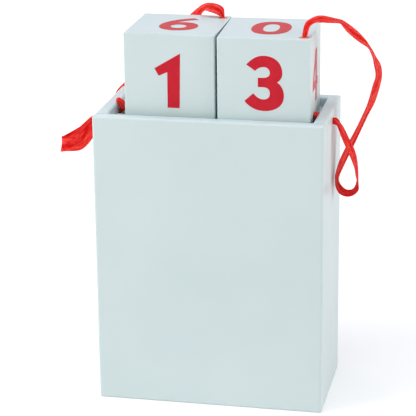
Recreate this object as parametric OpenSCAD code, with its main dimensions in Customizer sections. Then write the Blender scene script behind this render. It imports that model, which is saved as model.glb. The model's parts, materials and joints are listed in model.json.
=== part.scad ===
// Countdown block calendar: a painted wooden box with a shallow tray in its top,
// two number cubes that stand in the tray, and a satin ribbon that tethers each cube.
// Millimetres, +Z up, the front faces -Y, and the origin is the middle of the base.

/* [Number cubes] */
// Edge length of a number cube
cube_s = 40.2; // [30:0.1:46]
// Radius of a cube's eased edges
cube_r = 0.5; // [0.4:0.1:2.5]
// Gap between the two cubes
cube_gap = 0.8; // [0.8:0.1:4]
// How far the left cube is turned in the tray, in degrees
left_turn = 0.1; // [0:0.1:1.2]
// How far the right cube is turned in the tray, in degrees
right_turn = 2.1; // [0:0.1:2.2]
// How far the left cube stands behind the middle of the tray
left_back = 1; // [-0.6:0.1:1.2]
// How far the right cube stands behind the middle of the tray
right_back = -0.5; // [-0.6:0.1:0.6]

/* [Box] */
// Height of the box up to its rim
box_h = 133; // [80:1:200]
// Thickness of the four wall panels
wall_t = 5.5; // [4:0.5:10]
// Thickness of the bottom panel
bottom_t = 5.5; // [4:0.5:10]
// Gap round the bottom panel
bottom_fit = 0.1; // [0:0.05:0.4]
// Radius of the box's eased edges
edge_r = 1; // [0.4:0.1:1.8]

/* [Tray] */
// Depth of the tray below the rim
tray_h = 4.3; // [3:0.1:12]
// Room left of the left cube, where its ribbon is knotted
left_room = 7.5; // [5:0.1:15]
// Room right of the right cube, where its ribbon is knotted
right_room = 2.3; // [2.2:0.1:15]
// Room in front of and behind a cube, taken together
depth_room = 2.8; // [2.8:0.1:12]
// Thickness of the tray board
tray_t = 5; // [3:0.5:10]
// Gap round the tray board
tray_fit = 0.2; // [0.1:0.05:0.5]
// Length, front to rear, of the notch at each end of the tray board
notch_l = 12; // [10:0.5:20]
// Depth of the notch at each end of the tray board
notch_w = 5; // [4.5:0.5:8]
// Width of the cleats that carry the tray board
cleat_w = 6; // [4:0.5:12]
// Height of the cleats that carry the tray board
cleat_h = 8; // [4:0.5:20]
// Space between each end of a cleat and the side wall
cleat_inset = 6; // [0:1:20]

/* [Ribbon holes] */
// Diameter of the ribbon hole through each side wall
wall_hole_d = 3; // [2.6:0.1:6]
// Drop of the side wall holes below the rim
wall_hole_drop = 5; // [4:0.5:15]
// How far the side wall holes lie behind the middle
wall_hole_back = 0.5; // [-8:0.5:8]
// Diameter of the blind ribbon hole in each cube
cube_hole_d = 3.8; // [2.6:0.1:5]
// Depth of the blind ribbon hole in each cube
cube_hole_depth = 12; // [8:1:25]
// Distance of each cube's hole from the cube's right face
cube_hole_side = 3.2; // [3:0.1:12]
// Distance of the left cube's hole from its rear face
left_hole_rear = 4.9; // [3:0.1:12]
// Distance of the right cube's hole from its front face
right_hole_front = 3.4; // [3:0.1:12]

/* [Ribbons] */
// Width of the satin ribbon
ribbon_w = 7; // [5:0.5:8]
// Thickness of the ribbon
ribbon_t = 0.7; // [0.5:0.1:1]
// Diameter of the ribbon where it is gathered to pass a hole
neck_d = 2.1; // [1.6:0.1:2.3]
// Thickness of the strands of the left wall knot
left_knot_d = 5; // [3:0.1:5.5]
// Thickness of the strands of the right wall knot, pressed flat beside its cube
right_knot_d = 1.8; // [1.6:0.1:2]
// Length of a wall knot, front to rear
knot_l = 7; // [6:0.2:9]
// Lean of a wall knot's two strands, in degrees
knot_lean = 22; // [10:1:35]
// Drop of the wall knots below the rim
knot_drop = 1; // [0.5:0.1:4]
// How far the left wall knot lies in front of its hole
left_knot_front = 1; // [0:0.1:3]
// How far the right wall knot lies in front of its hole
right_knot_front = 5.8; // [0:0.1:7]
// Length of the ribbon's stopper at the bottom of a cube's hole
stopper_l = 5; // [3:0.5:7]
// Gap round the stopper in a cube's hole
stopper_fit = 0.15; // [0.1:0.05:0.3]
// Height of the gathered ribbon above a cube's top
neck_rise = 0.6; // [0.4:0.1:1.5]

/* [Hidden] */
$fn = 48;
paint = [0.82, 0.88, 0.89];
bare_wood = [0.80, 0.68, 0.50];
satin = [0.90, 0.20, 0.19];

tray_in_w = left_room + 2 * cube_s + cube_gap + right_room;
tray_in_d = cube_s + depth_room;
box_w = tray_in_w + 2 * wall_t;
box_d = tray_in_d + 2 * wall_t;
tray_z = box_h - tray_h;
cleat_z = tray_z - tray_t - cleat_h;
wall_hole_z = box_h - wall_hole_drop;
cut_over = 1;

left_cube_at = [-tray_in_w / 2 + left_room + cube_s / 2, left_back, tray_z];
right_cube_at = [tray_in_w / 2 - right_room - cube_s / 2, right_back, tray_z];
left_hole_local = [cube_s / 2 - cube_hole_side, cube_s / 2 - left_hole_rear, cube_s];
right_hole_local = [cube_s / 2 - cube_hole_side, right_hole_front - cube_s / 2, cube_s];

function turned(p, a) = [p.x * cos(a) - p.y * sin(a), p.x * sin(a) + p.y * cos(a), p.z];

left_hole_at = left_cube_at + turned(left_hole_local, left_turn);
right_hole_at = right_cube_at + turned(right_hole_local, right_turn);
left_exit = [-box_w / 2, wall_hole_back, wall_hole_z];
right_exit = [box_w / 2, wall_hole_back, wall_hole_z];
rise = [0, 0, neck_rise];

// A ribbon's route: each point has its place, the way its width lies and its share of the full width.
upright = [0, 0, 1];
gathered = neck_d / ribbon_w;
left_route = [
    [left_exit, upright, gathered],
    [[-53.2, 0.2, 126], [-0.45, 0, 0.89], 0.55],
    [[-55.8, -0.3, 123], [-0.6, 0, 0.8], 0.85],
    [[-57.7, -0.8, 120.8], [-0.7, 0.02, 0.71], 1],
    [[-60.3, -1.6, 118], [-0.7, 0.02, 0.71], 1],
    [[-62.6, -2, 115.1], [-0.66, 0.02, 0.75], 1],
    [[-64.8, -2.1, 113.1], [-0.42, 0.02, 0.91], 1],
    [[-67.8, -1.9, 112.5], [-0.06, 0, 1], 1],
    [[-70.5, -1.2, 112.2], [0.08, 0, 1], 1],
    [[-72.5, -0.2, 111.7], [0.12, 0, 0.99], 1],
    [[-73.3, 1.2, 111.2], [0.12, 0, 0.99], 1],
    [[-72.3, 2.2, 111.2], upright, 1],
    [[-69.7, 2.8, 112.4], [-0.34, 0.1, 0.94], 1],
    [[-66.4, 3.2, 114.3], [-0.47, 0.1, 0.88], 1],
    [[-63.2, 3.8, 116.3], [-0.52, 0.1, 0.85], 1],
    [[-60.6, 5, 118.6], [-0.55, 0.1, 0.83], 1],
    [[-58.6, 7.4, 120.3], [-0.45, 0.05, 0.89], 1],
    [[-57, 12.6, 119], [-0.1, 0, 1], 1],
    [[-56.2, 19, 116.6], upright, 1],
    [[-56, 24.4, 115.4], upright, 1],
    [[-55.6, 28.8, 116], [-0.1, 0, 1], 1],
    [[-54.6, 31.6, 119], [-0.3, 0, 0.95], 1],
    [[-53.6, 32.4, 122.4], [-0.37, 0, 0.93], 1],
    [[-52.2, 32.8, 127.1], [-0.37, 0, 0.93], 1],
    [[-47.8, 33.2, 130.4], [-0.44, 0.18, 0.88], 1],
    [[-43.4, 33.6, 138], [-0.36, 0.73, 0.58], 1],
    [[-35.6, 33.6, 146.6], [0, 0.86, 0.51], 1],
    [[-28, 32.8, 155.6], [0.09, 0.85, 0.51], 1],
    [[-19, 30.8, 163.8], [-0.28, 0.75, 0.6], 1],
    [[-14.9, 28.2, 167.4], [-0.11, 0.7, 0.71], 1],
    [[-12.7, 25.8, 169.7], [0.11, 0.67, 0.73], 1],
    [[-10.3, 22.8, 171.6], [0.4, 0.71, 0.58], 1],
    [[-7.7, 20.6, 172.7], [0.54, 0.78, 0.31], 1],
    [[-4.9, 18.6, 172.8], [0.59, 0.78, 0.2], 1],
    [[-2.8, 17.1, 171.9], [0.61, 0.79, 0.1], 0.85],
    [[-1.6, 16.4, 170.5], [0.54, 0.84, 0.06], 0.55],
    [left_hole_at + rise, [0.45, 0.89, 0], gathered],
];
right_route = [
    [right_exit, [0, 0.15, 0.99], gathered],
    [[52, 0.4, 128.1], [0.15, 0.56, 0.81], 0.45],
    [[53.6, 0.2, 126.9], [0.22, 0.97, 0.02], 0.65],
    [[54.9, -0.2, 124.9], [0.2, 0.98, -0.08], 0.9],
    [[56.1, -0.7, 122.4], [0.21, 0.97, -0.07], 1],
    [[57.6, -1.2, 119.4], [0.23, 0.97, -0.05], 1],
    [[59.4, -1.8, 116], [0.23, 0.97, 0], 1],
    [[60.9, -2, 112.5], [0.15, 0.99, 0.08], 1],
    [[61.8, -1.6, 109], [0.04, 0.98, 0.17], 1],
    [[62.3, -0.8, 105.3], [-0.05, 0.97, 0.24], 1],
    [[62.5, 0.2, 101.8], [-0.18, 0.95, 0.27], 1],
    [[62.2, 1, 98.8], [-0.17, 0.93, 0.31], 1],
    [[60.8, 1.8, 96.1], [0.01, 0.94, 0.34], 1],
    [[58.4, 2.6, 94.6], [0.25, 0.95, 0.19], 1],
    [[55.7, 3.4, 94.9], [0.29, 0.95, -0.07], 1],
    [[53.6, 4.2, 96.8], [0.17, 0.96, -0.21], 1],
    [[52.5, 5, 99.6], [0.05, 0.97, -0.24], 1],
    [[52.6, 5.6, 102.2], [0.13, 0.97, -0.22], 1],
    [[54.8, 6.6, 108], [0.32, 0.92, -0.22], 1],
    [[57.8, 6.8, 114.8], [0.37, 0.92, -0.16], 1],
    [[61, 6.4, 121.6], [0.33, 0.94, -0.07], 1],
    [[64.3, 5.6, 129], [0.32, 0.95, -0.03], 1],
    [[67.4, 4.8, 136.1], [0.38, 0.92, -0.02], 1],
    [[69.8, 3.6, 144.9], [0.41, 0.91, 0.04], 1],
    [[70.6, 2.8, 149], [0.31, 0.93, 0.17], 1],
    [[70.5, 2, 152.3], [0.19, 0.94, 0.28], 1],
    [[69.6, 1, 155.6], [0.03, 0.95, 0.31], 1],
    [[68.5, 0, 158.6], [-0.09, 0.95, 0.29], 1],
    [[67.2, -1, 161.4], [-0.18, 0.95, 0.26], 1],
    [[65.6, -2, 163.9], [-0.18, 0.94, 0.3], 1],
    [[61.8, -4.2, 168], [-0.1, 0.91, 0.4], 1],
    [[57.6, -6.6, 172.3], [-0.19, 0.91, 0.35], 1],
    [[55.7, -7.8, 174], [-0.36, 0.89, 0.29], 1],
    [[53.9, -9, 175.1], [-0.47, 0.86, 0.19], 1],
    [[51.7, -10.4, 175.8], [-0.48, 0.86, 0.17], 1],
    [[49.2, -11.9, 176.3], [-0.47, 0.86, 0.2], 1],
    [[46.6, -13.4, 176.5], [-0.49, 0.85, 0.18], 0.95],
    [[43.8, -14.9, 175.8], [-0.54, 0.84, 0.07], 0.8],
    [[41.9, -16.2, 173.9], [-0.6, 0.79, 0.08], 0.6],
    [right_hole_at + rise, [-0.76, 0.65, 0], gathered],
];
route_steps = 2;
section_sides = 8;

// Eased boards

// What a round edge of radius r takes off a square corner at the origin
module corner_waste(r) {
    difference() {
        square(r);
        translate([r, r]) circle(r);
    }
}

// A rectangle from the origin, its corners eased in the order near left, near right, far right, far left
module eased_rectangle(size, r, eased = [true, true, true, true]) {
    difference() {
        square(size);
        if (eased[0]) corner_waste(r);
        if (eased[1]) translate([size.x, 0]) rotate(90) corner_waste(r);
        if (eased[2]) translate([size.x, size.y]) rotate(180) corner_waste(r);
        if (eased[3]) translate([0, size.y]) rotate(270) corner_waste(r);
    }
}

// A profile drawn in Y and Z, run along X from 0
module along_x(length) {
    rotate([90, 0, 90]) linear_extrude(length) children();
}

// A profile drawn in X and Z, run along Y from 0
module along_y(length) {
    translate([0, length, 0]) rotate([90, 0, 0]) linear_extrude(length) children();
}

// The full-width front or rear board, its outer face at y = 0 and its inner face toward +Y
module wide_board() {
    translate([-box_w / 2, 0, 0]) intersection() {
        along_y(wall_t) eased_rectangle([box_w, box_h], edge_r);
        along_x(box_w) eased_rectangle([wall_t, box_h], edge_r, [true, false, true, true]);
        linear_extrude(box_h) eased_rectangle([box_w, wall_t], edge_r, [true, true, false, false]);
    }
}

// A side board between the wide boards, its outer face at x = 0 and its inner face toward +X
module side_board() {
    difference() {
        translate([0, -tray_in_d / 2, 0]) along_y(tray_in_d)
            eased_rectangle([wall_t, box_h], edge_r, [true, false, true, true]);
        translate([-cut_over, wall_hole_back, wall_hole_z]) rotate([0, 90, 0])
            cylinder(d = wall_hole_d, h = wall_t + 2 * cut_over);
    }
}

module front_panel() {
    color(paint) translate([0, -box_d / 2, 0]) wide_board();
}

module rear_panel() {
    color(paint) translate([0, box_d / 2, 0]) mirror([0, 1, 0]) wide_board();
}

module left_panel() {
    color(paint) translate([-box_w / 2, 0, 0]) side_board();
}

module right_panel() {
    color(paint) translate([box_w / 2, 0, 0]) mirror([1, 0, 0]) side_board();
}

module bottom_panel() {
    size = [tray_in_w - 2 * bottom_fit, tray_in_d - 2 * bottom_fit, bottom_t];
    color(bare_wood) translate([-size.x / 2, -size.y / 2, 0]) cube(size);
}

// Tray

module tray_board() {
    size = [tray_in_w - 2 * tray_fit, tray_in_d - 2 * tray_fit, tray_t];
    color(paint) translate([0, 0, tray_z - tray_t]) difference() {
        translate([-size.x / 2, -size.y / 2, 0]) cube(size);
        for (side = [-1, 1])
            translate([side * size.x / 2 - notch_w, wall_hole_back - notch_l / 2, -cut_over])
                cube([2 * notch_w, notch_l, tray_t + 2 * cut_over]);
    }
}

module cleat() {
    length = tray_in_w - 2 * cleat_inset;
    translate([-length / 2, -tray_in_d / 2, cleat_z]) cube([length, cleat_w, cleat_h]);
}

module front_cleat() {
    color(bare_wood) cleat();
}

module rear_cleat() {
    color(bare_wood) mirror([0, 1, 0]) cleat();
}

// Number cubes

module eased_cube() {
    translate([-cube_s / 2, -cube_s / 2, 0]) intersection() {
        linear_extrude(cube_s) eased_rectangle([cube_s, cube_s], cube_r);
        along_x(cube_s) eased_rectangle([cube_s, cube_s], cube_r);
        along_y(cube_s) eased_rectangle([cube_s, cube_s], cube_r);
    }
}

module number_cube(at, turn, hole) {
    color(paint) translate(at) rotate(turn) difference() {
        eased_cube();
        translate(hole - [0, 0, cube_hole_depth]) cylinder(d = cube_hole_d, h = cube_hole_depth + cut_over);
    }
}

module left_cube() {
    number_cube(left_cube_at, left_turn, left_hole_local);
}

module right_cube() {
    number_cube(right_cube_at, right_turn, right_hole_local);
}

// Ribbons

function unit(v) = v / norm(v);

function mix(a, b, t) = a * (1 - t) + b * t;

// A point on the smooth curve through p1 and p2, with its neighbours p0 and p3
function curve_point(p0, p1, p2, p3, t) =
    p1 + t * (p2 - p0) / 2
    + t * t * (p0 - 2.5 * p1 + 2 * p2 - 0.5 * p3)
    + t * t * t * (1.5 * (p1 - p2) + 0.5 * (p3 - p0));

// The route's value k, its place, side or share, at step j of the span after point i
function along_route(route, i, j, k) =
    let (last = len(route) - 1, t = j / route_steps)
    k == 0
        ? curve_point(route[max(i - 1, 0)][0], route[i][0], route[i + 1][0], route[min(i + 2, last)][0], t)
        : mix(route[i][k], route[i + 1][k], t);

function fine_route(route) = [
    for (i = [0 : len(route) - 2])
        for (j = [0 : route_steps - 1])
            [for (k = [0 : 2]) along_route(route, i, j, k)],
    route[len(route) - 1],
];

// One ring of the ribbon: a flattened octagon across the tangent, its wide way along the side
function ring(stop, tangent) =
    let (
        side = unit(stop[1] - tangent * (stop[1] * tangent)),
        face = cross(tangent, side),
        half_w = ribbon_w / 2 * stop[2],
        half_t = mix(neck_d / 2, ribbon_t / 2, (stop[2] - gathered) / (1 - gathered)),
        turn = 180 / section_sides
    )
    [for (k = [0 : section_sides - 1])
        let (a = turn * (2 * k + 1))
        stop[0] + side * half_w * cos(a) / cos(turn) + face * half_t * sin(a) / cos(turn)];

module ribbon(route, start_way, end_way) {
    stops = fine_route(route);
    last = len(stops) - 1;
    rings = [for (i = [0 : last])
        ring(stops[i], i == 0 ? start_way : i == last ? end_way : unit(stops[i + 1][0] - stops[i - 1][0]))];
    n = section_sides;
    points = [for (r = rings) each r];
    start_cap = [for (k = [1 : n - 2]) [0, k, k + 1]];
    end_cap = [for (k = [1 : n - 2]) [last * n, last * n + k + 1, last * n + k]];
    walls = [for (i = [0 : last - 1], k = [0 : n - 1])
        let (a = i * n + k, b = i * n + (k + 1) % n)
        each [[a, a + n, b], [b, a + n, b + n]]];
    color(satin) polyhedron(points, concat(start_cap, end_cap, walls));
}

module left_ribbon() {
    ribbon(left_route, [-1, 0, 0], [0, 0, -1]);
}

module right_ribbon() {
    ribbon(right_route, [1, 0, 0], [0, 0, -1]);
}

module strand(length, d) {
    straight = length - d;
    cylinder(d = d, h = straight, center = true);
    for (end = [-1, 1]) translate([0, 0, end * straight / 2]) sphere(d = d);
}

// The knot inside the right wall, in front of the hole, with the gathered neck that passes out
// through the wall and the riser that leads up to the knot
module wall_knot(knot_d, front) {
    knot_x = tray_in_w / 2 - knot_d / 2;
    up = box_h - knot_drop - wall_hole_z;
    riser_d = 0.8 * min(neck_d, knot_d);
    color(satin) translate([knot_x, wall_hole_back, wall_hole_z]) {
        translate([0, -front, up]) {
            rotate([90 - knot_lean, 0, 0]) strand(knot_l, knot_d);
            rotate([90 + knot_lean, 0, 0]) strand(knot_l, 0.9 * knot_d);
        }
        rotate([0, 90, 0]) cylinder(d = neck_d, h = box_w / 2 - knot_x);
        translate([0, -front, up] / 2) rotate([atan2(front, up), 0, 0])
            strand(norm([front, up]) + riser_d, riser_d);
    }
}

module left_wall_knot() {
    mirror([1, 0, 0]) wall_knot(left_knot_d, left_knot_front);
}

module right_wall_knot() {
    wall_knot(right_knot_d, right_knot_front);
}

// The ribbon's glued end in a cube's hole, with the gathered neck that rises out of it
module cube_stopper(hole_at) {
    color(satin) translate(hole_at - [0, 0, cube_hole_depth]) {
        cylinder(d = cube_hole_d - 2 * stopper_fit, h = stopper_l);
        cylinder(d = neck_d, h = cube_hole_depth + neck_rise);
    }
}

module left_cube_stopper() {
    cube_stopper(left_hole_at);
}

module right_cube_stopper() {
    cube_stopper(right_hole_at);
}

front_panel();
rear_panel();
left_panel();
right_panel();
bottom_panel();
tray_board();
front_cleat();
rear_cleat();
left_cube();
right_cube();
left_ribbon();
right_ribbon();
left_wall_knot();
right_wall_knot();
left_cube_stopper();
right_cube_stopper();
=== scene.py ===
# %% [markdown]
# # A countdown block calendar
# Two number blocks stand in a shallow tray on top of a tall painted box, and each block is tied to
# the box by a red satin ribbon. The box, the tray and the blocks are flat, eased boards, which the
# CAD model already gives exactly, so here they only get their finish. The ribbons, their knots and
# the printed numerals are soft or thin things, and these are modelled in this lesson.

import json
import math

import bpy
from mathutils import Matrix, Vector
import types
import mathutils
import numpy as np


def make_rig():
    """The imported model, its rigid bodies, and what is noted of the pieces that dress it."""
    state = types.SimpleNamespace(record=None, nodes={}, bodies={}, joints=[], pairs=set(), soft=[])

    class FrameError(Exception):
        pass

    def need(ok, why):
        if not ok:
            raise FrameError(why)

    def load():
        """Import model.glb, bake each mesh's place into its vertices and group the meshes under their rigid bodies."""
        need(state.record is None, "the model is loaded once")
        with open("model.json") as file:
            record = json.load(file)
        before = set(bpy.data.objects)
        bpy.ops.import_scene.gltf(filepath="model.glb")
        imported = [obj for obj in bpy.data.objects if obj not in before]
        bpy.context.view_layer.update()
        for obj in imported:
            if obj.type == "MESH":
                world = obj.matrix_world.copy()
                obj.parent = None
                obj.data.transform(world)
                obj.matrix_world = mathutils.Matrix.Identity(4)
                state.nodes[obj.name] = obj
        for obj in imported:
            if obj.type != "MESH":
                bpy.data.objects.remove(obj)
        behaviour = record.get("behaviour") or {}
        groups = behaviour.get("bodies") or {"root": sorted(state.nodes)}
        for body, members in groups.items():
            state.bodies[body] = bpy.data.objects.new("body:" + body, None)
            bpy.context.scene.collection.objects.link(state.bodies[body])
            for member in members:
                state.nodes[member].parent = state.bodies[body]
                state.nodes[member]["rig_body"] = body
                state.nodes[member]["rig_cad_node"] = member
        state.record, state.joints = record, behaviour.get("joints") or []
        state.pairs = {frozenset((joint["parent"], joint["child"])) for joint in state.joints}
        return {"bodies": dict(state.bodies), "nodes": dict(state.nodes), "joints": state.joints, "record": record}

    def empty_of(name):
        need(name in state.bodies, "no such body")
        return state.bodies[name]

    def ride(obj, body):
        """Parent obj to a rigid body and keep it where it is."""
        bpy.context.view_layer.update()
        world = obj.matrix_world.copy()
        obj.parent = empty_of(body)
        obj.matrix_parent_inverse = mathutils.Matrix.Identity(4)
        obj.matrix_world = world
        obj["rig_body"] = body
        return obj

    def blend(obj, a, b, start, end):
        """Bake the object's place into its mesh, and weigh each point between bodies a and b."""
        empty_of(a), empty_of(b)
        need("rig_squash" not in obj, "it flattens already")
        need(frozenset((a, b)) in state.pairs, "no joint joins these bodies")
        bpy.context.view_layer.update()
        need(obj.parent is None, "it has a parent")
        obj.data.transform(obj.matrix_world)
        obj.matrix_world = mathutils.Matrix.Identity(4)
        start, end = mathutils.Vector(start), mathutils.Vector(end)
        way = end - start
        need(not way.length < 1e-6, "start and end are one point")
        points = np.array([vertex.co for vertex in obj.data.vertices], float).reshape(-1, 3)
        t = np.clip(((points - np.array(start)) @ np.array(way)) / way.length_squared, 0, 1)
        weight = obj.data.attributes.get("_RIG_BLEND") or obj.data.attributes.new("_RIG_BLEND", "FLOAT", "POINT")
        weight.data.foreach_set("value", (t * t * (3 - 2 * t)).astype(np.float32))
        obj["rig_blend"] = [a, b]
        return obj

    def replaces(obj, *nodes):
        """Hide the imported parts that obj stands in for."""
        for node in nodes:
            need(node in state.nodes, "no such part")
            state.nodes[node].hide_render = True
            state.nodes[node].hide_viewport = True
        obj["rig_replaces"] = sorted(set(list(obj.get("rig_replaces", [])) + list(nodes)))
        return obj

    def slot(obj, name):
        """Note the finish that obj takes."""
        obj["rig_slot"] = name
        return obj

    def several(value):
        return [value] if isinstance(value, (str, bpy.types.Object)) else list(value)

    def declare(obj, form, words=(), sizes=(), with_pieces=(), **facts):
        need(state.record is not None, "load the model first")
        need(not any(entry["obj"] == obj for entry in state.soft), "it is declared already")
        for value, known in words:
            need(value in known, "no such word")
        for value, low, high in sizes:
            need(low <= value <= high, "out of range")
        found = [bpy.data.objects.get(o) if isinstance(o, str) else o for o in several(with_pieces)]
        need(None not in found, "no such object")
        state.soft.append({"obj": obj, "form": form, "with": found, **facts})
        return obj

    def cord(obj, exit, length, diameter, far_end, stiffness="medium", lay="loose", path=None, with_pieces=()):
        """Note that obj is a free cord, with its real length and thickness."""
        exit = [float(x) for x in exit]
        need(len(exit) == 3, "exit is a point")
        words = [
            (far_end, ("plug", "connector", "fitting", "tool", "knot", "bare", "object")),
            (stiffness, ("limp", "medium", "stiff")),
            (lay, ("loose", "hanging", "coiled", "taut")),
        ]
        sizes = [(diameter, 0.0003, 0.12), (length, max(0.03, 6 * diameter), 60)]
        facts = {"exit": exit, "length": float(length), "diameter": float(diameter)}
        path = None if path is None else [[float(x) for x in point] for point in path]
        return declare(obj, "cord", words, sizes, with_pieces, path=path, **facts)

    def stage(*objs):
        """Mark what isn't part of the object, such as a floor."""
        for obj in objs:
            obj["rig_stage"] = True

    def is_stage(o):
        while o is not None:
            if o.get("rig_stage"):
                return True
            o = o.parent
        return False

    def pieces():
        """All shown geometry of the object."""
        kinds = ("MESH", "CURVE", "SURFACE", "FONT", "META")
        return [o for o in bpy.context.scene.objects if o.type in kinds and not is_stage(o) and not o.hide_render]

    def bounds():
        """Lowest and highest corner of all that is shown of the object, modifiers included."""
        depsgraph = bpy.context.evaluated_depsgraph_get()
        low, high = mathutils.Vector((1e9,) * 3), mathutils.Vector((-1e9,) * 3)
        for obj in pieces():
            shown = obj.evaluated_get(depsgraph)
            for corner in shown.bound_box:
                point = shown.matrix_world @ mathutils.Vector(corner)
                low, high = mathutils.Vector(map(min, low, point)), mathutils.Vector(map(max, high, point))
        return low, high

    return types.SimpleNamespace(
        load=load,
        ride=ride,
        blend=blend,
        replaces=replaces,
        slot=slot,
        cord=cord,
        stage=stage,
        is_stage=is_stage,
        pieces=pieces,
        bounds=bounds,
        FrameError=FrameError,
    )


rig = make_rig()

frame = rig.load()
cad_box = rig.bounds()
MM = 0.001
print("CAD nodes:", ", ".join(sorted(frame["nodes"])))
print("CAD box in mm:", [tuple(round(v / MM, 1) for v in corner) for corner in cad_box])

# %% [markdown]
# ## The camera
# The photograph was taken from a little to the right and from above, with a long lens. The place,
# the aim and the slight roll were worked out from the corners of the box, so they are set as
# numbers here and not by eye.

# %% Place the camera
photo_pixels = 416
focal_pixels = 1848.5
sensor_width = 36
camera_place = (0.15904, -0.77714, 0.34555)
looking_along = Vector((-0.1966, 0.92954, -0.31195))
camera_roll = -0.0109

bpy.ops.object.select_all(action="DESELECT")
bpy.ops.object.camera_add(location=camera_place)
camera = bpy.context.object
camera.rotation_euler = looking_along.to_track_quat("-Z", "Y").to_euler()
camera.rotation_euler.rotate_axis("Z", camera_roll)
camera.data.sensor_width = sensor_width
camera.data.lens = sensor_width * focal_pixels / photo_pixels
bpy.context.scene.camera = camera
print("lens in mm:", round(camera.data.lens, 1))

# %% [markdown]
# ## The ribbons' routes
# Each ribbon leaves the box by a small hole in the side wall, hangs in a loop, rises and goes into
# a hole in the top of its block. A row below is one stop: the place in millimetres, the way that
# the ribbon's width points, and the share of its full width that it shows there. It is gathered to
# a third in the holes. The stops are those of the CAD solids, apart from small moves that suit the
# photograph better.

# %% Write down the routes
ribbon_width = 7
gathered = 2.1 / ribbon_width
upright = (0, 0, 1)

left_route = [
    ((-51, 0.5, 128), upright, gathered),
    ((-53.2, 0.2, 126), (-0.45, 0, 0.89), 0.55),
    ((-55.8, -0.3, 123), (-0.6, 0, 0.8), 0.85),
    ((-57.7, -0.8, 120.8), (-0.7, 0.02, 0.71), 1),
    ((-60.3, -1.6, 118), (-0.7, 0.02, 0.71), 1),
    ((-62.6, -2, 115.1), (-0.66, 0.02, 0.75), 1),
    ((-64.8, -2.1, 113.1), (-0.42, 0.02, 0.91), 1),
    ((-67.8, -1.9, 112.5), (-0.06, 0, 1), 1),
    ((-70.5, -1.2, 112.2), (0.08, 0, 1), 1),
    ((-72.5, -0.2, 111.7), (0.12, 0, 0.99), 1),
    ((-73.3, 1.2, 111.2), (0.12, 0, 0.99), 1),
    ((-72.3, 2.2, 111.2), upright, 1),
    ((-69.7, 2.8, 112.4), (-0.34, 0.1, 0.94), 1),
    ((-66.4, 3.2, 114.3), (-0.47, 0.1, 0.88), 1),
    ((-63.2, 3.8, 116.3), (-0.52, 0.1, 0.85), 1),
    ((-60.6, 5, 118.6), (-0.55, 0.1, 0.83), 1),
    ((-58.6, 7.4, 120.3), (-0.45, 0.05, 0.89), 1),
    ((-57, 12.6, 119), (-0.1, 0, 1), 1),
    ((-56.2, 19, 116.6), upright, 1),
    ((-56, 24.4, 115.4), upright, 1),
    ((-55.6, 28.8, 116), (-0.1, 0, 1), 1),
    ((-54.6, 31.6, 119), (-0.3, 0, 0.95), 1),
    ((-53.6, 32.4, 122.4), (-0.37, 0, 0.93), 1),
    ((-52.2, 32.8, 127.1), (-0.37, 0, 0.93), 1),
    ((-47.8, 33.2, 132.2), (-0.44, 0.1, 0.88), 1),
    ((-43.5, 33.6, 140.6), (-0.4, 0.6, 0.66), 1),
    ((-35.6, 33.6, 147), (0, 0.86, 0.51), 1),
    ((-28, 32.8, 155.6), (0.09, 0.85, 0.51), 1),
    ((-19, 30.8, 163.8), (-0.28, 0.75, 0.6), 1),
    ((-14.8, 28.2, 167.3), (-0.23, 0.62, 0.75), 1),
    ((-12.6, 25.8, 169.6), (0.02, 0.64, 0.77), 1),
    ((-10.3, 22.8, 171.6), (0.4, 0.71, 0.58), 1),
    ((-7.7, 20.6, 172.7), (0.54, 0.78, 0.31), 1),
    ((-5, 18.5, 172.5), (0.58, 0.77, 0.26), 1),
    ((-2.9, 17, 171.8), (0.63, 0.75, 0.18), 0.85),
    ((-1.6, 16.4, 170.5), (0.54, 0.84, 0.06), 0.55),
    ((-1.03, 16.23, 169.3), (0.45, 0.89, 0), 0.36),
]
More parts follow.
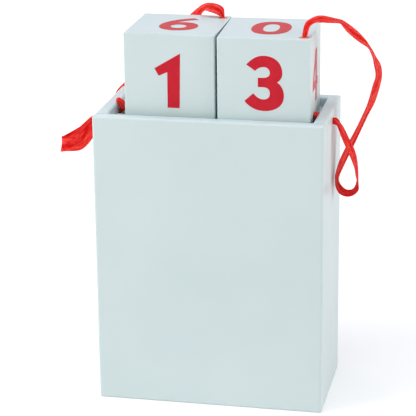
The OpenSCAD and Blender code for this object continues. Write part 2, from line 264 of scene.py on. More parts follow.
right_route = [
    ((51, 0.5, 128), (0, 0.15, 0.99), gathered),
    ((52, 0.4, 128.1), (0.15, 0.56, 0.81), 0.45),
    ((53.6, 0.2, 126.9), (0.22, 0.97, 0.02), 0.65),
    ((54.9, -0.2, 124.9), (0.2, 0.98, -0.08), 0.9),
    ((56.1, -0.7, 122.4), (0.21, 0.97, -0.07), 1),
    ((57.6, -1.2, 119.4), (0.23, 0.97, -0.05), 1),
    ((59.4, -1.8, 116), (0.23, 0.97, 0), 1),
    ((60.9, -2, 112.5), (0.15, 0.99, 0.08), 1),
    ((61.8, -1.6, 109), (0.04, 0.98, 0.17), 1),
    ((62.2, -0.8, 105.3), (0, 0.97, 0.24), 1),
    ((62.6, 0.2, 101.8), (-0.12, 0.96, 0.27), 1),
    ((62.3, 1, 98.8), (-0.23, 0.92, 0.33), 1),
    ((60.8, 1.8, 96.1), (0.01, 0.94, 0.34), 1),
    ((58.4, 2.6, 94.6), (0.25, 0.95, 0.19), 1),
    ((55.6, 3.4, 94.8), (0.32, 0.95, -0.01), 1),
    ((53.5, 4.2, 96.8), (0.23, 0.96, -0.17), 1),
    ((52.5, 5, 99.6), (0.08, 0.97, -0.24), 1),
    ((52.8, 5.6, 102.1), (0.17, 0.96, -0.23), 1),
    ((54.8, 6.6, 108), (0.32, 0.92, -0.22), 1),
    ((57.8, 6.8, 114.8), (0.37, 0.92, -0.16), 1),
    ((61, 6.4, 121.6), (0.33, 0.94, -0.07), 1),
    ((64.3, 5.6, 129), (0.32, 0.95, -0.03), 1),
    ((67.4, 4.8, 136.1), (0.38, 0.92, -0.02), 1),
    ((69.8, 3.6, 144.9), (0.41, 0.91, 0.04), 1),
    ((70.6, 2.8, 149), (0.31, 0.93, 0.17), 1),
    ((70.4, 2, 152.3), (0.22, 0.93, 0.28), 1),
    ((69.4, 0.9, 155.5), (0.07, 0.94, 0.32), 1),
    ((68.6, 0, 158.6), (-0.04, 0.95, 0.31), 1),
    ((67.4, -0.9, 161.5), (-0.11, 0.95, 0.29), 1),
    ((65.9, -1.8, 164.2), (-0.13, 0.93, 0.33), 1),
    ((61.9, -4.1, 168.1), (-0.02, 0.89, 0.46), 1),
    ((57.5, -6.6, 172.2), (-0.12, 0.9, 0.41), 1),
    ((55.6, -7.9, 173.9), (-0.33, 0.89, 0.33), 1),
    ((53.9, -9, 175.1), (-0.48, 0.86, 0.18), 1),
    ((51.7, -10.4, 175.7), (-0.47, 0.86, 0.21), 1),
    ((49.2, -11.9, 176.2), (-0.45, 0.85, 0.26), 1),
    ((46.6, -13.4, 176.4), (-0.49, 0.84, 0.22), 0.95),
    ((43.8, -14.9, 175.8), (-0.54, 0.84, 0.07), 0.8),
    ((41.9, -16.2, 173.9), (-0.6, 0.79, 0.08), 0.6),
    ((40.9, -16.57, 169.3), (-0.76, 0.65, 0), 0.4),
]
print("stops on the left and right ribbon:", len(left_route), len(right_route))

# %% [markdown]
# ## Laying a ribbon along a route
# A satin ribbon is a thin strip of cloth, so it is made as a strip: points across the width, row
# after row along a smooth curve through the stops. Where it is gathered, the cloth can't shrink, so
# it folds into pleats. Elsewhere it keeps a soft hollow and a wandering crease from being tied. A
# Solidify modifier gives the cloth its thickness, and a UV map unrolls the strip, so that the weave
# can follow it round every turn.

# %% Shape one row of the strip
ribbon_thickness = 0.22
pleat_depth = 0.2
crease_line = 0.25


def row_offset(u, share, folds, hollow, crease):
    half = ribbon_width / 2 * share
    steep = math.sqrt(max(1 / share**2 - 1, 0))
    pleat = pleat_depth * steep * half / folds * math.sin(folds * math.pi * u)
    bend = hollow * (1 - u * u) * share + crease * max(u - crease_line, 0) * half
    return u * half, pleat + bend


print("the crease lies", crease_line * ribbon_width / 2, "mm from the middle")

# %% Run a smooth curve through the stops
steps_between = 8


def curve_point(p0, p1, p2, p3, t):
    return (
        p1
        + 0.5 * t * (p2 - p0)
        + t * t * (p0 - 2.5 * p1 + 2 * p2 - 0.5 * p3)
        + t**3 * (1.5 * (p1 - p2) + 0.5 * (p3 - p0))
    )


def fine_stops(route):
    columns = (
        [Vector(stop[0]) for stop in route],
        [Vector(stop[1]).normalized() for stop in route],
        [Vector((stop[2], 0, 0)) for stop in route],
    )
    last = len(route) - 1
    stops = []
    for i in range(last):
        around = (max(i - 1, 0), i, i + 1, min(i + 2, last))
        for j in range(steps_between):
            t = j / steps_between
            stops.append([curve_point(*(column[k] for k in around), t) for column in columns])
    stops.append([column[-1] for column in columns])
    return [(place, side, min(share.x, 1)) for place, side, share in stops]


print("rows on the right ribbon:", len(fine_stops(right_route)))

# %% Walk along a route
def walk(route):
    stops, walked = fine_stops(route), 0.0
    for i, (place, side, share) in enumerate(stops):
        behind, ahead = stops[max(i - 1, 0)][0], stops[min(i + 1, len(stops) - 1)][0]
        walked += (place - behind).length
        along = (ahead - behind).normalized()
        wide = (side - along * side.dot(along)).normalized()
        yield place, wide, along.cross(wide), share, walked


right_walked = [walked for place, wide, face, share, walked in walk(right_route)]
print("the right ribbon's rows reach from", right_walked[0], "to", round(right_walked[-1], 1), "mm")

# %% Make a piece of cloth
def link_piece(name, data):
    piece = bpy.data.objects.new(name, data)
    bpy.context.scene.collection.objects.link(piece)
    bpy.ops.object.select_all(action="DESELECT")
    piece.select_set(True)
    bpy.context.view_layer.objects.active = piece
    return piece


def cloth_piece(name, verts, faces, marks):
    mesh = bpy.data.meshes.new(name)
    mesh.from_pydata(verts, [], faces)
    weave = mesh.uv_layers.new(name="weave")
    for loop in mesh.loops:
        weave.data[loop.index].uv = marks[loop.vertex_index]
    return link_piece(name, mesh)


print("a piece of cloth keeps its weave in a UV map")

# %% Build the strip
across = 16
crease_reach = 14
hollow_swing, hollow_step = 0.6, 6
strip_edge_angle = math.radians(50)


def lay_ribbon(name, route, folds=2, hollow=0.2, crease=0.0, crease_middle=0.0):
    verts, marks, path = [], [], []
    for place, wide, face, share, walked in walk(route):
        near_crease = math.exp(-(((walked - crease_middle) / crease_reach) ** 2))
        soft = hollow * (1 + hollow_swing * math.sin(walked / hollow_step))
        for k in range(across + 1):
            x, y = row_offset(2 * k / across - 1, share, folds, soft, crease * near_crease)
            verts.append((place + wide * x + face * y) * MM)
            marks.append((k / across, walked / ribbon_width))
        path.append(place * MM)
    row = across + 1
    faces = [
        (i * row + k, i * row + k + 1, (i + 1) * row + k + 1, (i + 1) * row + k)
        for i in range(len(path) - 1)
        for k in range(across)
    ]
    strip = cloth_piece(name, verts, faces, marks)
    cloth = strip.modifiers.new("cloth", "SOLIDIFY")
    cloth.thickness = ribbon_thickness * MM
    cloth.offset = 0
    bpy.ops.object.modifier_apply(modifier=cloth.name)
    bpy.ops.object.shade_smooth_by_angle(angle=strip_edge_angle)
    print(name, "is", round(walked, 1), "mm long")
    return strip, path, walked * MM


# %% Lay both ribbons
left_ribbon, left_path, left_length = lay_ribbon("left_satin_ribbon", left_route)
right_ribbon, right_path, right_length = lay_ribbon(
    "right_satin_ribbon", right_route, crease=0.35, crease_middle=121
)

# %% [markdown]
# ## The knots inside the tray
# Behind each wall hole the ribbon is tied, so that it can't slip out. In a knot the cloth is bunched
# into a soft strand, so here the row is a closed ring with folds all round it, and the rings are
# swept along a tight route. The left knot has room and is plump, with its last turn over the top.
# The right one is pressed between its block and the wall, so its two turns lie flat, side by side.

# %% Sweep a bunched strand
around = 30
bunch_folds = 5
strand_edge_angle = math.radians(60)


def sweep_strand(name, route, thinness, pleat=0.13, twist=0.25):
    verts, marks = [], []
    for place, wide, face, share, walked in walk(route):
        for k in range(around):
            turn = 2 * math.pi * k / around
            ripple = 1 + pleat * math.cos(bunch_folds * turn + twist * walked)
            reach = ribbon_width / 2 * share * ripple
            offset = wide * math.cos(turn) + face * math.sin(turn) * thinness
            verts.append((place + offset * reach) * MM)
            marks.append((2 * k / around, walked / ribbon_width))
    last = len(verts) - around
    faces = []
    for ring in range(0, last, around):
        for k in range(around):
            here, beside = ring + k, ring + (k + 1) % around
            faces.append((here, beside, beside + around, here + around))
    faces += [tuple(reversed(range(around))), tuple(range(last, last + around))]
    strand = cloth_piece(name, verts, faces, marks)
    bpy.ops.object.shade_smooth_by_angle(angle=strand_edge_angle)
    print(name, "is", round(walked, 1), "mm long")
    return strand


print("points round a strand:", around)

# %% Write down the knots' routes
front_to_rear = (0, 1, 0)

left_knot_route = [
    ((-51, 0.5, 128), front_to_rear, gathered),
    ((-46.6, 0.5, 128), front_to_rear, gathered),
    ((-44.2, 1.1, 129), front_to_rear, 0.26),
    ((-43.6, 1.4, 131), front_to_rear, 0.26),
    ((-44.7, 0.6, 133), front_to_rear, 0.27),
    ((-45.6, -0.7, 133.7), front_to_rear, 0.28),
    ((-45, -1.9, 133.9), front_to_rear, 0.29),
    ((-43.8, -2.4, 133.2), front_to_rear, 0.3),
    ((-42.7, -2.6, 132), front_to_rear, 0.3),
    ((-42.2, -2.6, 130.9), front_to_rear, 0.27),
    ((-42.9, -2.8, 130.6), front_to_rear, 0.23),
    ((-43.9, -2.9, 131.2), front_to_rear, 0.22),
    ((-44.4, -2.8, 132.1), front_to_rear, 0.22),
    ((-43.8, -2.2, 132.4), front_to_rear, 0.22),
    ((-42.8, -1.2, 131.6), front_to_rear, 0.22),
    ((-42.6, -0.2, 130.8), front_to_rear, 0.22),
]
right_knot_route = [
    ((51, 0.5, 128), upright, gathered),
    ((46.6, 0.5, 128), upright, gathered),
    ((45.05, -0.2, 129.4), upright, gathered),
    ((45.05, -2.4, 131.4), upright, gathered),
    ((45.05, -4.8, 132.3), upright, gathered),
    ((45, -7, 132.2), upright, gathered),
    ((44.6, -7.8, 132), upright, gathered),
    ((44.15, -7, 132.1), upright, gathered),
    ((44.1, -5, 132.3), upright, gathered),
    ((44.1, -2.6, 131.6), upright, gathered),
    ((44.1, -0.6, 130.5), upright, gathered),
]
print("stops on the knots:", len(left_knot_route), len(right_knot_route))

# %% Tie the knots
knots = {
    "left": sweep_strand("left_ribbon_knot", left_knot_route, 0.85, 0.22),
    "right": sweep_strand("right_ribbon_knot", right_knot_route, 0.45),
}
for side, knot in knots.items():
    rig.ride(knot, "box")
    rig.replaces(knot, side + "_wall_knot")
    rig.slot(knot, "satin")

# %% [markdown]
# ## The ends in the blocks
# At its other end each ribbon is bunched and glued into a small hole in the block's top. The end
# swells just below the mouth, so that it fills the hole, and goes down to the bottom. It rides on the
# block, and it meets the free ribbon just above the wood. Each of the end's stops is a height in
# millimetres and a share of the ribbon's width.

# %% Push the ends into their holes
block_holes = {"left": (-1.03, 16.23), "right": (40.6, -16.57)}
end_stops = ((169.3, 0.28), (168.6, 0.46), (167.4, 0.48), (164, 0.46), (160.5, 0.46), (157.1, 0.4))

ends = {}
for side, (x, y) in block_holes.items():
    end_route = [((x, y, height), front_to_rear, share) for height, share in end_stops]
    end = sweep_strand(side + "_glued_end", end_route, 0.95)
    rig.ride(end, side + "_number")
    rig.replaces(end, side + "_cube_stopper")
    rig.slot(end, "satin")
    ends[side] = end

# %% [markdown]
# ## Tying the ribbons to what they hold
# One end stays with the box and the other goes up with its block, so each ribbon is blended between
# the two bodies, over the height from the wall hole to the top of the block. It is also declared as
# a cord, with the length that the route really has.

wall_hole_z, block_top_z = 0.128, 0.1689

for side, strip, path, length in (
    ("left", left_ribbon, left_path, left_length),
    ("right", right_ribbon, right_path, right_length),
):
    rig.blend(strip, "box", side + "_number", start=(0, 0, wall_hole_z), end=(0, 0, block_top_z))
    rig.replaces(strip, side + "_ribbon")
    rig.slot(strip, "satin")
    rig.cord(
        strip,
        exit=path[0],
        length=length,
        diameter=ribbon_width * MM,
        far_end="object",
        stiffness="limp",
        lay="hanging",
        path=path,
        with_pieces=[knots[side], ends[side]],
    )
print("cords declared:", left_ribbon.name, right_ribbon.name)

# %% [markdown]
# ## Red satin
# Satin is woven so that its threads lie long on the surface. They run with the ribbon, catch the light in
# streaks, and leave a fine rib across. The UV map gives u across and v along, so noise that is stretched
# along v makes the streaks and the threads, and a close wave over v makes the ribs. The streaks are
# painted into the red as darker and lighter colour, a painted shade and highlight of the satin's sheen,
# while the threads and ribs only bump the surface. The cloth is thin, so some light passes through it,
# which Subsurface gives, and a red sheen brightens it where it turns away.

# %% Start a material
def new_material(name):
    material = bpy.data.materials.new(name)
    material.use_nodes = True
    tree = material.node_tree
    return material, tree.nodes, tree.links, tree.nodes["Principled BSDF"]


def stretched_noise(nodes, links, vector, stretch, detail=3):
    mapping = nodes.new("ShaderNodeMapping")
    mapping.inputs["Scale"].default_value = stretch
    links.new(vector, mapping.inputs["Vector"])
    noise = nodes.new("ShaderNodeTexNoise")
    noise.inputs["Scale"].default_value = 1
    noise.inputs["Detail"].default_value = detail
    links.new(mapping.outputs["Vector"], noise.inputs["Vector"])
    return noise.outputs["Fac"]


print("each finish starts from a Principled BSDF")

# %% Choose between colours
def two_tones(nodes, links, factor, dark, light, low=0.3, high=0.7):
    ramp = nodes.new("ShaderNodeValToRGB")
    for element, place, colour in zip(ramp.color_ramp.elements, (low, high), (dark, light)):
        element.position = place
        element.color = (*colour, 1)
    links.new(factor, ramp.inputs["Fac"])
    return ramp.outputs["Color"]


def mixed(nodes, links, factor, below, above):
    mix = nodes.new("ShaderNodeMix")
    mix.data_type = "RGBA"
    links.new(factor, mix.inputs["Factor"])
    links.new(below, mix.inputs["A"])
    if isinstance(above, tuple):
        mix.inputs["B"].default_value = (*above, 1)
    else:
        links.new(above, mix.inputs["B"])
    return mix.outputs["Result"]


print("a pattern can choose between two colours")

# %% Vary the gloss and the height
def graded(nodes, links, factor, low, high, span=(0.3, 0.7)):
    grade = nodes.new("ShaderNodeMapRange")
    grade.inputs["From Min"].default_value = span[0]
    grade.inputs["From Max"].default_value = span[1]
    grade.inputs["To Min"].default_value = low
    grade.inputs["To Max"].default_value = high
    links.new(factor, grade.inputs["Value"])
    return grade.outputs["Result"]


def raised(nodes, links, height, millimetres, strength=1.0):
    bump = nodes.new("ShaderNodeBump")
    bump.inputs["Strength"].default_value = strength
    bump.inputs["Distance"].default_value = millimetres * MM
    links.new(height, bump.inputs["Height"])
    return bump


print("a pattern can also vary the gloss and raise the surface")

# %% Let light into the satin
satin, nodes, links, shader = new_material("red_satin")
shader.inputs["Metallic"].default_value = 0.1
shader.inputs["Specular IOR Level"].default_value = 0
shader.inputs["Subsurface Weight"].default_value = 1
shader.inputs["Subsurface Radius"].default_value = (1.0, 0.3, 0.25)
shader.inputs["Subsurface Scale"].default_value = 1 * MM
shader.inputs["Sheen Weight"].default_value = 0.45
shader.inputs["Sheen Roughness"].default_value = 0.4
shader.inputs["Sheen Tint"].default_value = (1.0, 0.12, 0.1, 1)
print("light goes", round(shader.inputs["Subsurface Scale"].default_value / MM, 2), "mm into the satin")

# %% Paint the satin's sheen into its red
unrolled = nodes.new("ShaderNodeUVMap")
unrolled.uv_map = "weave"
wide_stretch, wide_share = (3, 0.35, 1), 0.4
fine_stretch, fine_share = (13, 2.4, 1), 0.6
wide_streaks = stretched_noise(nodes, links, unrolled.outputs["UV"], wide_stretch)
fine_streaks = stretched_noise(nodes, links, unrolled.outputs["UV"], fine_stretch, 2)
streaks = nodes.new("ShaderNodeMath")
streaks.operation = "MULTIPLY_ADD"
streaks.inputs[1].default_value = fine_share
links.new(fine_streaks, streaks.inputs[0])
links.new(graded(nodes, links, wide_streaks, 0, wide_share), streaks.inputs[2])
# painted sheen: the red darkens and lightens in streaks, a painted shade and painted highlight of the satin's shine
streak_shade_red, streak_highlight_red = (0.58, 0.005, 0.006), (0.94, 0.076, 0.063)
sheen_streaked_red = two_tones(nodes, links, streaks.outputs["Value"], streak_shade_red, streak_highlight_red, 0.38, 0.62)
links.new(sheen_streaked_red, shader.inputs["Base Color"])
links.new(graded(nodes, links, wide_streaks, 0.5, 0.36), shader.inputs["Roughness"])
print("reds in the satin:", streak_shade_red, streak_highlight_red)

# %% Weave the satin
thread_stretch = (70, 2, 1)
rib_scale = 6
threads = stretched_noise(nodes, links, unrolled.outputs["UV"], thread_stretch)
ribs = nodes.new("ShaderNodeTexWave")
ribs.bands_direction = "Y"
ribs.inputs["Scale"].default_value = rib_scale
ribs.inputs["Distortion"].default_value = 1.5
links.new(unrolled.outputs["UV"], ribs.inputs["Vector"])
thread_bump = raised(nodes, links, threads, 0.03, 0.3)
rib_bump = raised(nodes, links, ribs.outputs["Fac"], 0.02, 0.25)
links.new(thread_bump.outputs["Normal"], rib_bump.inputs["Normal"])
links.new(rib_bump.outputs["Normal"], shader.inputs["Normal"])
for strip in (left_ribbon, right_ribbon, *knots.values()):
    strip.data.materials.append(satin)
print("satin on", len(knots) + 2, "pieces")

# %% [markdown]
# ## Dry glue
# The ends in the blocks are the same cloth, but in the mouth of the hole it is soaked with glue, which
# has dried to a cream. A copy of the satin turns to that colour a short way down from the end's top,
# where v begins, and it has no sheen.

# %% Let the dry glue show
glued_satin = satin.copy()
glued_satin.name = "glued_red_satin"
nodes, links = glued_satin.node_tree.nodes, glued_satin.node_tree.links
shader = nodes["Principled BSDF"]
shader.inputs["Sheen Weight"].default_value = 0
# the satin's red, with its painted sheen streaks
unglued_sheen_streaked_red = shader.inputs["Base Color"].links[0].from_socket
down = nodes.new("ShaderNodeSeparateXYZ")
links.new(nodes["UV Map"].outputs["UV"], down.inputs["Vector"])
glue_span = (0.03, 0.06)
cream = (0.8, 0.55, 0.38)
glue = graded(nodes, links, down.outputs["Y"], 0, 1, glue_span)
links.new(mixed(nodes, links, glue, unglued_sheen_streaked_red, cream), shader.inputs["Base Color"])
for end in ends.values():
    end.data.materials.append(glued_satin)
print("dry glue starts", round(glue_span[0] * ribbon_width, 2), "mm below the top of", len(ends), "ends")

# %% [markdown]
# ## The numerals
# The numbers are printed flat on all six faces of each block, in a plain bold face. Each one is
# drawn as pen strokes: M starts an outline, L goes on straight, C goes on in a curve, and Z closes
# it. A second outline inside the first leaves a hole. Text from a font would be quicker, but strokes
# keep the exact shapes with the script. Millimetres are counted from the middle of the number.

# %% Draw the numbers
number_strokes = {
    0: "M 0 12.5 C 5.5 12.5 8.7 8 8.7 0 C 8.7 -8 5.5 -12.5 0 -12.5 C -5.5 -12.5 -8.7 -8 -8.7 0 "
    "C -8.7 8 -5.5 12.5 0 12.5 Z M 0 7.4 C 2.4 7.4 3.5 4.8 3.5 0 C 3.5 -4.8 2.4 -7.4 0 -7.4 "
    "C -2.4 -7.4 -3.5 -4.8 -3.5 0 C -3.5 4.8 -2.4 7.4 0 7.4 Z",
    1: "M 6.3 11.7 L -5.2 4.8 L -3.3 1.5 L 0.5 3.25 L 0.4 -12.6 L 5.8 -12.7 Z",
    2: "M -8.6 -12.3 L 8.9 -12.3 L 8.9 -7.4 L -0.6 -7.4 L 3.6 -4 C 6.6 -1.5 8.4 1 8.4 4.6 "
    "C 8.4 9.4 5 12.5 -0.2 12.5 C -4.6 12.5 -7.2 10.6 -9 7.4 L -4.9 4.6 C -3.4 6.7 -2.1 7.7 -0.4 7.7 "
    "C 1.6 7.7 2.7 6.4 2.7 4.6 C 2.7 2.6 1.6 1.2 -1 -0.9 L -8.6 -7.5 Z",
    3: "M -7.4 8.48 C -5.09 11.07 -2.78 12.5 0.2 12.5 C 5.02 12.5 8.17 9.41 8.17 4.95 "
    "C 8.17 3.22 7.33 1.9 5.98 0.93 C 7.62 -0.05 8.87 -2.25 8.87 -4.99 "
    "C 8.87 -9.23 5.5 -11.84 0.4 -11.84 C -3.17 -11.84 -6.06 -10.41 -8.27 -7.58 L -4.38 -4.11 "
    "C -3.07 -5.82 -1.53 -6.7 0.06 -6.7 C 1.74 -6.7 2.77 -5.72 2.77 -4.06 "
    "C 2.77 -2.06 1.65 -1.32 -0.28 -1.27 L -2.4 -1.27 L -2.4 2.82 L -0.28 2.82 "
    "C 1.74 2.87 2.77 3.55 2.77 4.95 C 2.77 6.48 1.74 7.55 0.23 7.55 "
    "C -1.24 7.55 -2.49 6.97 -3.55 5.8 Z",
    4: "M 6.3 11.2 L 6.3 -2.2 L 8.8 -2.2 L 8.8 -5.8 L 6.3 -5.8 L 6.3 -12.1 L 0.9 -12.1 L 0.9 -5.8 "
    "L -9.2 -5.8 L -9.2 -2.6 L 0.2 11.2 Z M 0.9 -2.2 L 0.9 4.7 L -3.9 -2.2 Z",
    5: "M -7.6 12.2 L 7.2 12.2 L 7.2 7.4 L -2.7 7.4 L -3 3.6 C -1.8 4.1 -0.5 4.4 0.9 4.4 "
    "C 5.8 4.4 8.8 1 8.8 -3.9 C 8.8 -9.2 5.2 -12.5 -0.6 -12.5 C -4.6 -12.5 -7.2 -11.2 -9.2 -8.9 "
    "L -5.6 -5.2 C -4 -6.9 -2.4 -7.7 -0.7 -7.7 C 1.9 -7.7 3.4 -6.3 3.4 -4 C 3.4 -1.7 1.7 -0.4 -0.7 -0.4 "
    "C -2.2 -0.4 -3.3 -0.8 -4.6 -1.5 L -8.3 0.4 Z",
    6: "M 3.4 12.5 L 6.4 9.6 C 3 8.4 -0.6 6 -2.6 2.6 C -1.5 3.4 -0.4 3.9 1 3.9 "
    "C 5.4 3.9 8.6 0.4 8.6 -4.2 C 8.6 -9.2 5 -12.5 0 -12.5 C -5.2 -12.5 -8.7 -8.9 -8.7 -3.6 "
    "C -8.7 3.4 -3.6 9.6 3.4 12.5 Z M 0 -1 C 2 -1 3.5 -2.5 3.5 -4.4 C 3.5 -6.3 2 -7.8 0 -7.8 "
    "C -2 -7.8 -3.5 -6.3 -3.5 -4.4 C -3.5 -2.5 -2 -1 0 -1 Z",
    7: "M -8.6 12.2 L 9 12.2 L 9 8.2 L 0.4 -12.2 L -5.6 -12.2 L 2.4 7.2 L -8.6 7.2 Z",
    8: "M 0 12.5 C 4.9 12.5 8.2 9.9 8.2 6.2 C 8.2 3.8 6.9 2.1 4.9 1 C 7.7 -0.1 9.2 -2.2 9.2 -5.2 "
    "C 9.2 -9.7 5.5 -12.5 0 -12.5 C -5.5 -12.5 -9.2 -9.7 -9.2 -5.2 C -9.2 -2.2 -7.7 -0.1 -4.9 1 "
    "C -6.9 2.1 -8.2 3.8 -8.2 6.2 C -8.2 9.9 -4.9 12.5 0 12.5 Z M 0 8.2 C 1.6 8.2 2.9 7.1 2.9 5.7 "
    "C 2.9 4.3 1.6 3.2 0 3.2 C -1.6 3.2 -2.9 4.3 -2.9 5.7 C -2.9 7.1 -1.6 8.2 0 8.2 Z "
    "M 0 -1.8 C 2 -1.8 3.6 -3.2 3.6 -4.9 C 3.6 -6.6 2 -8 0 -8 C -2 -8 -3.6 -6.6 -3.6 -4.9 "
    "C -3.6 -3.2 -2 -1.8 0 -1.8 Z",
}
print("numbers drawn:", len(number_strokes))

# %% Turn strokes into outlines
curve_steps = 10


def outlines(strokes):
    loops, words = [], iter(strokes.split())
    for word in words:
        if word == "M":
            loops.append([Vector((float(next(words)), float(next(words))))])
        elif word == "L":
            loops[-1].append(Vector((float(next(words)), float(next(words)))))
        elif word == "C":
            a, b, c = (Vector((float(next(words)), float(next(words)))) for _ in range(3))
            start = loops[-1][-1]
            for step in range(1, curve_steps + 1):
                t = step / curve_steps
                s = 1 - t
                loops[-1].append(s**3 * start + 3 * s * s * t * a + 3 * s * t * t * b + t**3 * c)
    return [loop[:-1] if (loop[0] - loop[-1]).length < 1e-6 else loop for loop in loops]


print("points round the 3:", len(outlines(number_strokes[3])[0]))

# %% Find the blocks' faces
block_size = 40.2
ink_height = 0.03
ink_lift = 0.02
face_turns = {"front": 0, "right": 90, "rear": 180, "left": -90}


def face_place(block_at, block_turn, face, nudge):
    place = Matrix.Translation(Vector(block_at) * MM + Vector((0, 0, block_size / 2 * MM)))
    place = place @ Matrix.Rotation(math.radians(block_turn), 4, "Z")
    if face in face_turns:
        place = place @ Matrix.Rotation(math.radians(face_turns[face]), 4, "Z")
        place = place @ Matrix.Rotation(math.radians(90), 4, "X")
    elif face == "bottom":
        place = place @ Matrix.Rotation(math.radians(180), 4, "X")
    return place @ Matrix.Translation((nudge * MM, 0, (block_size / 2 + ink_lift) * MM))


print("faces on the sides of a block:", ", ".join(face_turns))

# %% Print the numbers on the blocks
block_places = {"left": ((-17.9, 1, 128.7), 0.1), "right": ((23.1, -0.5, 128.7), 2.1)}
block_numbers = {
    "left": {"front": 1, "top": 6, "left": 7, "rear": 2, "right": 8, "bottom": 0},
    "right": {"front": 3, "top": 0, "right": 4, "left": 1, "rear": 2, "bottom": 5},
}
nudges = {"left front": -1.3, "left top": 1, "right top": 0.8, "right right": -0.8}


def print_number(name, digit, place):
    outline = bpy.data.curves.new(name, "CURVE")
    outline.dimensions = "2D"
    outline.fill_mode = "BOTH"
    outline.extrude = ink_height * MM
    for loop in outlines(number_strokes[digit]):
        spline = outline.splines.new("POLY")
        spline.points.add(len(loop) - 1)
        for point, corner in zip(spline.points, loop):
            point.co = (corner.x * MM, corner.y * MM, 0, 1)
        spline.use_cyclic_u = True
    link_piece(name, outline)
    bpy.ops.object.convert(target="MESH")
    number = bpy.context.object
    number.matrix_world = place
    bpy.ops.object.transform_apply(location=True, rotation=True, scale=True)
    return number


numbers = []
for side, (block_at, block_turn) in block_places.items():
    for face, digit in block_numbers[side].items():
        name = f"{side}_block_{face}_number"
        nudge = nudges.get(f"{side} {face}", 0)
        number = print_number(name, digit, face_place(block_at, block_turn, face, nudge))
        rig.ride(number, side + "_number")
        numbers.append(number)
print("numbers printed:", len(numbers))

# %% [markdown]
# ## The printing ink
# The ink is a cool red with a slight gloss. A print on painted wood isn't quite even, so a soft
# noise mottles the colour a little, and a finer one breaks the gloss.

# %% Mix the ink
ink, nodes, links, shader = new_material("red_printing_ink")
place = nodes.new("ShaderNodeTexCoord").outputs["Object"]
mottle_stretch, speck_stretch = (220, 220, 220), (2400, 2400, 2400)
thick_ink, thin_ink = (0.56, 0.016, 0.031), (0.62, 0.022, 0.039)
mottle = stretched_noise(nodes, links, place, mottle_stretch, 4)
shader.inputs["Specular IOR Level"].default_value = 0.08
links.new(two_tones(nodes, links, mottle, thick_ink, thin_ink), shader.inputs["Base Color"])
specks = stretched_noise(nodes, links, place, speck_stretch, 2)
links.new(graded(nodes, links, specks, 0.32, 0.44), shader.inputs["Roughness"])
links.new(raised(nodes, links, specks, 0.02, 0.3).outputs["Normal"], shader.inputs["Normal"])
for number in numbers:
    number.data.materials.append(ink)
print("ink on", len(numbers), "numbers")

# %% [markdown]
# ## Pale blue paint
# The boards and blocks are painted wood with a low gloss. Close up, such paint has faint brush marks
# and a little unevenness in tone, and it is thinner on the edges. There the blue is mixed towards a
# lighter one, which is partly that thinner paint and partly a painted highlight along the edges. The
# Bevel node finds the edges: near one, the rounded normal that it gives differs from the true normal.
# Round the drilled holes the paint is chipped to the bare wood, at a set distance from the hole's axis.

# %% Find the edges
edge_begins, edge_ends = 0.99, 0.8


def edge_mask(nodes, links, radius):
    rounded = nodes.new("ShaderNodeBevel")
    rounded.samples = 6
    rounded.inputs["Radius"].default_value = radius * MM
    true_normal = nodes.new("ShaderNodeNewGeometry")
    same = nodes.new("ShaderNodeVectorMath")
    same.operation = "DOT_PRODUCT"
    links.new(rounded.outputs["Normal"], same.inputs[0])
    links.new(true_normal.outputs["True Normal"], same.inputs[1])
    mask = nodes.new("ShaderNodeMapRange")
    mask.inputs["From Min"].default_value = edge_begins
    mask.inputs["From Max"].default_value = edge_ends
    links.new(same.outputs["Value"], mask.inputs["Value"])
    return mask.outputs["Result"]


print("an edge shows where the normals' product falls below", edge_begins)

# %% Find the holes
chip_depth = 1.2
chip_stretch = (700, 700, 700)


def hole_mask(nodes, links, place, axis_point, across_axis, radius):
    from_axis = nodes.new("ShaderNodeVectorMath")
    from_axis.operation = "SUBTRACT"
    from_axis.inputs[1].default_value = Vector(axis_point) * MM
    links.new(place, from_axis.inputs[0])
    flat = nodes.new("ShaderNodeVectorMath")
    flat.operation = "MULTIPLY"
    flat.inputs[1].default_value = across_axis
    links.new(from_axis.outputs["Vector"], flat.inputs[0])
    distance = nodes.new("ShaderNodeVectorMath")
    distance.operation = "LENGTH"
    links.new(flat.outputs["Vector"], distance.inputs[0])
    ragged = nodes.new("ShaderNodeMath")
    ragged.operation = "MULTIPLY_ADD"
    ragged.inputs[1].default_value = chip_depth * MM
    links.new(stretched_noise(nodes, links, place, chip_stretch), ragged.inputs[0])
    links.new(distance.outputs["Value"], ragged.inputs[2])
    mask = nodes.new("ShaderNodeMath")
    mask.operation = "LESS_THAN"
    mask.inputs[1].default_value = radius * MM
    links.new(ragged.outputs["Value"], mask.inputs[0])
    return mask.outputs["Value"]


print("the chipped paint's edge wanders by up to", chip_depth, "mm")

# %% Mix the wood and the paint
fibre_stretch, cloud_stretch, brush_stretch = (25, 420, 420), (22, 22, 22), (500, 500, 30)
dark_grain, light_grain = (0.42, 0.24, 0.11), (0.66, 0.45, 0.25)
# the edge blue is partly thin paint and partly a painted highlight
full_blue, faded_blue, highlit_thin_edge_blue = (0.6, 0.712, 0.722), (0.64, 0.742, 0.752), (0.76, 0.82, 0.82)
edge_radius, edge_share = 0.7, 0.5


def wood_grain(nodes, links, place):
    fibres = stretched_noise(nodes, links, place, fibre_stretch, 5)
    return two_tones(nodes, links, fibres, dark_grain, light_grain)


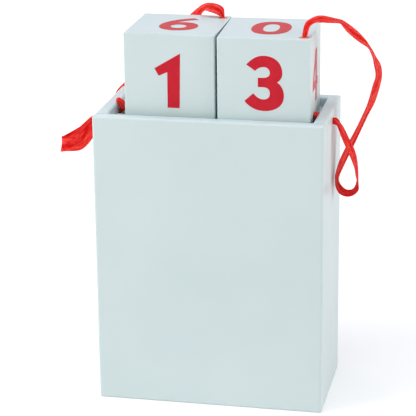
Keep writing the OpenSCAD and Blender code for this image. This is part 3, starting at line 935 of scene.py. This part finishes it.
def mix_paint(name, axis_point=None, across_axis=None, radius=0.0):
    paint, nodes, links, shader = new_material(name)
    place = nodes.new("ShaderNodeTexCoord").outputs["Object"]
    cloud = stretched_noise(nodes, links, place, cloud_stretch, 3)
    colour = two_tones(nodes, links, cloud, full_blue, faded_blue)
    edges = nodes.new("ShaderNodeMath")
    edges.operation = "MULTIPLY"
    edges.inputs[1].default_value = edge_share
    links.new(edge_mask(nodes, links, edge_radius), edges.inputs[0])
    # lighter blue on the edges: thinner paint there, and a painted highlight along them
    colour = mixed(nodes, links, edges.outputs["Value"], colour, highlit_thin_edge_blue)
    if axis_point:
        bare = hole_mask(nodes, links, place, axis_point, across_axis, radius)
        colour = mixed(nodes, links, bare, colour, wood_grain(nodes, links, place))
    links.new(colour, shader.inputs["Base Color"])
    brushed = stretched_noise(nodes, links, place, brush_stretch, 4)
    links.new(graded(nodes, links, brushed, 0.3, 0.42), shader.inputs["Roughness"])
    strokes = raised(nodes, links, brushed, 0.04, 0.25)
    links.new(strokes.outputs["Normal"], shader.inputs["Normal"])
    return paint


print("the paint from dark to light:", full_blue, faded_blue, highlit_thin_edge_blue)

# %% Paint the boards and the blocks
wall_hole = (0, 0.5, 128)
wall_chips, block_chips = 2.2, 2.9

box_paint = mix_paint("pale_blue_box_paint", wall_hole, (0, 1, 1), wall_chips)
paints = dict.fromkeys(("front_panel", "rear_panel", "left_panel", "right_panel"), box_paint)
paints["tray_board"] = mix_paint("pale_blue_tray_paint")
for side, (x, y) in block_holes.items():
    title = f"pale_blue_{side}_block_paint"
    paints[side + "_cube"] = mix_paint(title, (x, y, 0), (1, 1, 0), block_chips)
for name, paint in paints.items():
    frame["nodes"][name].data.materials[0] = paint
print("paint on:", ", ".join(paints))

# %% Leave the hidden boards bare
bare_wood, nodes, links, shader = new_material("bare_wood")
place = nodes.new("ShaderNodeTexCoord").outputs["Object"]
links.new(wood_grain(nodes, links, place), shader.inputs["Base Color"])
pore_stretch = (60, 1500, 1500)
pores = stretched_noise(nodes, links, place, pore_stretch, 2)
links.new(graded(nodes, links, pores, 0.55, 0.75), shader.inputs["Roughness"])
links.new(raised(nodes, links, pores, 0.08, 0.4).outputs["Normal"], shader.inputs["Normal"])
for name in ("bottom_panel", "front_cleat", "rear_cleat"):
    frame["nodes"][name].data.materials[0] = bare_wood
print("bare wood on 3 boards")

# %% [markdown]
# ## Floor and light
# The photograph has a white background and soft, even light with a little more of it from the left.
# The floor is a wide white disc, which takes the shadow of the box. Where the camera or a shiny
# surface looks at it directly it is lifted towards white, a little near the box, so that the shadow
# stays, and fully further off. The sky is white in the same way. Four wide lamps light the set: the
# key from the left, one from the right, one from above and a weak one from behind. They are hidden
# from reflections, because a lamp that mirrors in the blocks' tops would hide the numbers there.

# %% Lift what is seen directly
shadow_reach = (0.15, 1.76)


def seen_directly(nodes, links, lift, far_lift=None):
    ray = nodes.new("ShaderNodeLightPath")
    either = nodes.new("ShaderNodeMath")
    either.operation = "MAXIMUM"
    links.new(ray.outputs["Is Camera Ray"], either.inputs[0])
    links.new(ray.outputs["Is Glossy Ray"], either.inputs[1])
    level = nodes.new("ShaderNodeMapRange")
    level.inputs["To Min"].default_value = lift[0]
    level.inputs["To Max"].default_value = lift[1]
    links.new(either.outputs["Value"], level.inputs["Value"])
    if far_lift:
        away = nodes.new("ShaderNodeVectorMath")
        away.operation = "LENGTH"
        links.new(nodes.new("ShaderNodeTexCoord").outputs["Object"], away.inputs[0])
        further_off = graded(nodes, links, away.outputs["Value"], lift[1], far_lift, shadow_reach)
        links.new(further_off, level.inputs["To Max"])
    return level.outputs["Result"]


print("the floor is lifted fully from", shadow_reach[1], "m on")

# %% Lay the floor
floor_radius = 6
floor_near, floor_far = 0.25, 1.0

bpy.ops.object.select_all(action="DESELECT")
bpy.ops.mesh.primitive_circle_add(vertices=96, radius=floor_radius, fill_type="NGON", location=(0, 0, 0))
floor = bpy.context.object
floor.name = "floor"
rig.stage(floor)
white, nodes, links, shader = new_material("white_floor")
shader.inputs["Base Color"].default_value = (0.9, 0.9, 0.9, 1)
shader.inputs["Roughness"].default_value = 0.9
shader.inputs["Specular IOR Level"].default_value = 0
shader.inputs["Emission Color"].default_value = (1, 1, 1, 1)
links.new(seen_directly(nodes, links, (0, floor_near), floor_far), shader.inputs["Emission Strength"])
floor.data.materials.append(white)
print("floor radius in m:", floor_radius)

# %% Make the sky
sky_light, sky_seen = 0.3, 1.0

world = bpy.data.worlds.new("studio")
bpy.context.scene.world = world
world.use_nodes = True
nodes, links = world.node_tree.nodes, world.node_tree.links
nodes["Background"].inputs["Color"].default_value = (1, 1, 1, 1)
links.new(seen_directly(nodes, links, (sky_light, sky_seen)), nodes["Background"].inputs["Strength"])
bpy.context.scene.view_settings.view_transform = "Standard"
print("the sky lights the set at", sky_light)

# %% Hang the lamps
middle_of_box = Vector((0, 0, 0.09))


def soft_lamp(name, place, size, watts, colour):
    bpy.ops.object.select_all(action="DESELECT")
    bpy.ops.object.light_add(type="AREA", location=place)
    lamp = bpy.context.object
    lamp.name = name
    lamp.data.shape = "DISK"
    lamp.data.size = size
    lamp.data.energy = watts
    lamp.data.color = colour
    lamp.visible_glossy = False
    lamp.rotation_euler = (middle_of_box - Vector(place)).to_track_quat("-Z", "Y").to_euler()
    print(name, watts, "W")


soft_lamp("key_lamp", (-1.1, -0.7, 0.5), 0.9, 10.8, (1, 0.96, 0.89))
soft_lamp("side_lamp", (1.2, -0.3, 0.5), 0.8, 6.5, (1, 0.98, 0.94))
soft_lamp("top_lamp", (0, -0.2, 1.3), 1.0, 7.7, (0.83, 0.86, 1))
soft_lamp("back_lamp", (-1.1, 0.95, 0.5), 0.9, 3.2, (1, 0.98, 0.95))

# %% [markdown]
# ## Measure and finish
# The CAD model's box and the visual model's box are both written down, to compare their sizes.

# %% Measure and finish
visual_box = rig.bounds()
for title, corners in (("CAD", cad_box), ("visual", visual_box)):
    print(title, "box in mm:", [tuple(round(v / MM, 1) for v in corner) for corner in corners])
with open("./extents.json", "w") as size_file:
    json.dump({"cad": [list(c) for c in cad_box], "visual": [list(c) for c in visual_box]}, size_file)
